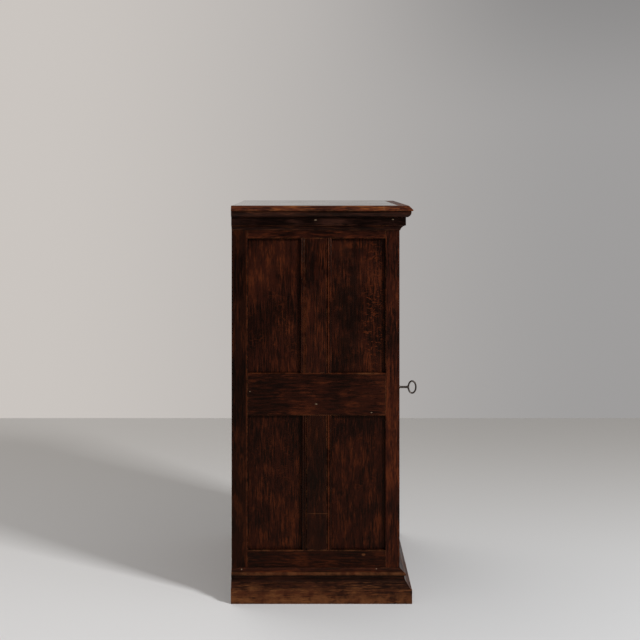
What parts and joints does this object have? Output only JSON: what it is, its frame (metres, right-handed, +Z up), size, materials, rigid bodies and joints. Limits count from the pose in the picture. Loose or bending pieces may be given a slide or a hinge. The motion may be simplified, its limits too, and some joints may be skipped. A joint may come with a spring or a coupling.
{
  "type": "specimen cabinet",
  "caption": "Small panelled wooden cabinet on a moulded plinth, with a lockable hinged door in front of graduated shallow drawers for specimens.",
  "frame": {"origin": "on the floor, under the middle of the overall width and depth, the key included", "axes": "+X to the right as seen from the front, +Y towards the back, +Z up"},
  "size_m": [0.5116, 0.374, 0.789],
  "materials": {
    "dark_oak": "dark stained oak, waxed",
    "panel_oak": "dark stained quartered oak, waxed",
    "drawer_oak": "stained oak, waxed",
    "drawer_lining": "plain unpolished wood",
    "knob_wood": "turned and polished wood",
    "inner_wood": "plain unpolished wood",
    "old_brass": "dull brass",
    "dark_iron": "dark worn iron"
  },
  "bodies": {
    "case": {"plinth_boards": "dark_oak", "plinth_moulding": "dark_oak", "bottom_board": "inner_wood", "left_stiles": "dark_oak", "left_rails": "dark_oak", "left_muntins": "dark_oak", "left_panels": "panel_oak", "right_stiles": "dark_oak", "right_rails": "dark_oak", "right_muntins": "dark_oak", "right_panels": "panel_oak", "back_boards": "inner_wood", "dust_board": "inner_wood", "front_top_rail": "dark_oak", "cornice_cavetto": "dark_oak", "cornice_fascia": "dark_oak", "cornice_ovolo": "dark_oak", "top_edging": "dark_oak", "top_board": "dark_oak", "left_nest_side": "inner_wood", "right_nest_side": "inner_wood", "left_filler": "inner_wood", "right_filler": "inner_wood", "strike_plate": "old_brass", "case_hinge_leaves": "old_brass", "hinge_pins": "old_brass"},
    "door": {"door_hinge_stile": "dark_oak", "door_lock_stile": "dark_oak", "door_rails": "dark_oak", "door_muntins": "dark_oak", "door_panels": "panel_oak", "door_hinge_leaves": "old_brass", "lock_case": "old_brass", "escutcheon": "old_brass"},
    "key": {"key": "dark_iron"},
    "bolt": {"lock_bolt": "dark_iron"},
    "drawer_1": {"drawer_1_front": "drawer_oak", "drawer_1_tray": "drawer_lining", "drawer_1_knob": "knob_wood"},
    "drawer_2": {"drawer_2_front": "drawer_oak", "drawer_2_tray": "drawer_lining", "drawer_2_knob": "knob_wood"},
    "drawer_3": {"drawer_3_front": "drawer_oak", "drawer_3_tray": "drawer_lining", "drawer_3_knob": "knob_wood"},
    "drawer_4": {"drawer_4_front": "drawer_oak", "drawer_4_tray": "drawer_lining", "drawer_4_knob": "knob_wood"},
    "drawer_5": {"drawer_5_front": "drawer_oak", "drawer_5_tray": "drawer_lining", "drawer_5_knob": "knob_wood"},
    "drawer_6": {"drawer_6_front": "drawer_oak", "drawer_6_tray": "drawer_lining", "drawer_6_knob": "knob_wood"},
    "drawer_7": {"drawer_7_front": "drawer_oak", "drawer_7_tray": "drawer_lining", "drawer_7_knob": "knob_wood"},
    "drawer_8": {"drawer_8_front": "drawer_oak", "drawer_8_tray": "drawer_lining", "drawer_8_knob": "knob_wood"}
  },
  "joints": [
    {"name": "door_swing", "type": "hinge", "parent": "case", "child": "door", "pos_m": [0.2095, -0.1528, 0.4], "axis": [0, 0, 1], "range_deg": [0, 180]},
    {"name": "key_turn", "type": "hinge", "parent": "door", "child": "key", "pos_m": [-0.184, -0.149, 0.4185], "axis": [0, -1, 0], "range_deg": [0, 180]},
    {"name": "bolt_throw", "type": "slide", "parent": "door", "child": "bolt", "axis": [-1, 0, 0], "range_m": [0, 0.007]},
    {"name": "drawer_1_slide", "type": "slide", "parent": "case", "child": "drawer_1", "axis": [0, -1, 0], "range_m": [0, 0.2]},
    {"name": "drawer_2_slide", "type": "slide", "parent": "case", "child": "drawer_2", "axis": [0, -1, 0], "range_m": [0, 0.2]},
    {"name": "drawer_3_slide", "type": "slide", "parent": "case", "child": "drawer_3", "axis": [0, -1, 0], "range_m": [0, 0.2]},
    {"name": "drawer_4_slide", "type": "slide", "parent": "case", "child": "drawer_4", "axis": [0, -1, 0], "range_m": [0, 0.2]},
    {"name": "drawer_5_slide", "type": "slide", "parent": "case", "child": "drawer_5", "axis": [0, -1, 0], "range_m": [0, 0.2]},
    {"name": "drawer_6_slide", "type": "slide", "parent": "case", "child": "drawer_6", "axis": [0, -1, 0], "range_m": [0, 0.2]},
    {"name": "drawer_7_slide", "type": "slide", "parent": "case", "child": "drawer_7", "axis": [0, -1, 0], "range_m": [0, 0.2]},
    {"name": "drawer_8_slide", "type": "slide", "parent": "case", "child": "drawer_8", "axis": [0, -1, 0], "range_m": [0, 0.2]}
  ],
  "couplings": [
    {"joint": "key_turn", "follows": "bolt_throw", "rad_per_m": 448.79},
    {"joint": "drawer_1_slide", "follows": "door_swing", "m_per_rad": 0.06366},
    {"joint": "drawer_2_slide", "follows": "door_swing", "m_per_rad": 0.06366},
    {"joint": "drawer_3_slide", "follows": "door_swing", "m_per_rad": 0.06366},
    {"joint": "drawer_4_slide", "follows": "door_swing", "m_per_rad": 0.06366},
    {"joint": "drawer_5_slide", "follows": "door_swing", "m_per_rad": 0.06366},
    {"joint": "drawer_6_slide", "follows": "door_swing", "m_per_rad": 0.06366},
    {"joint": "drawer_7_slide", "follows": "door_swing", "m_per_rad": 0.06366},
    {"joint": "drawer_8_slide", "follows": "door_swing", "m_per_rad": 0.06366}
  ]
}
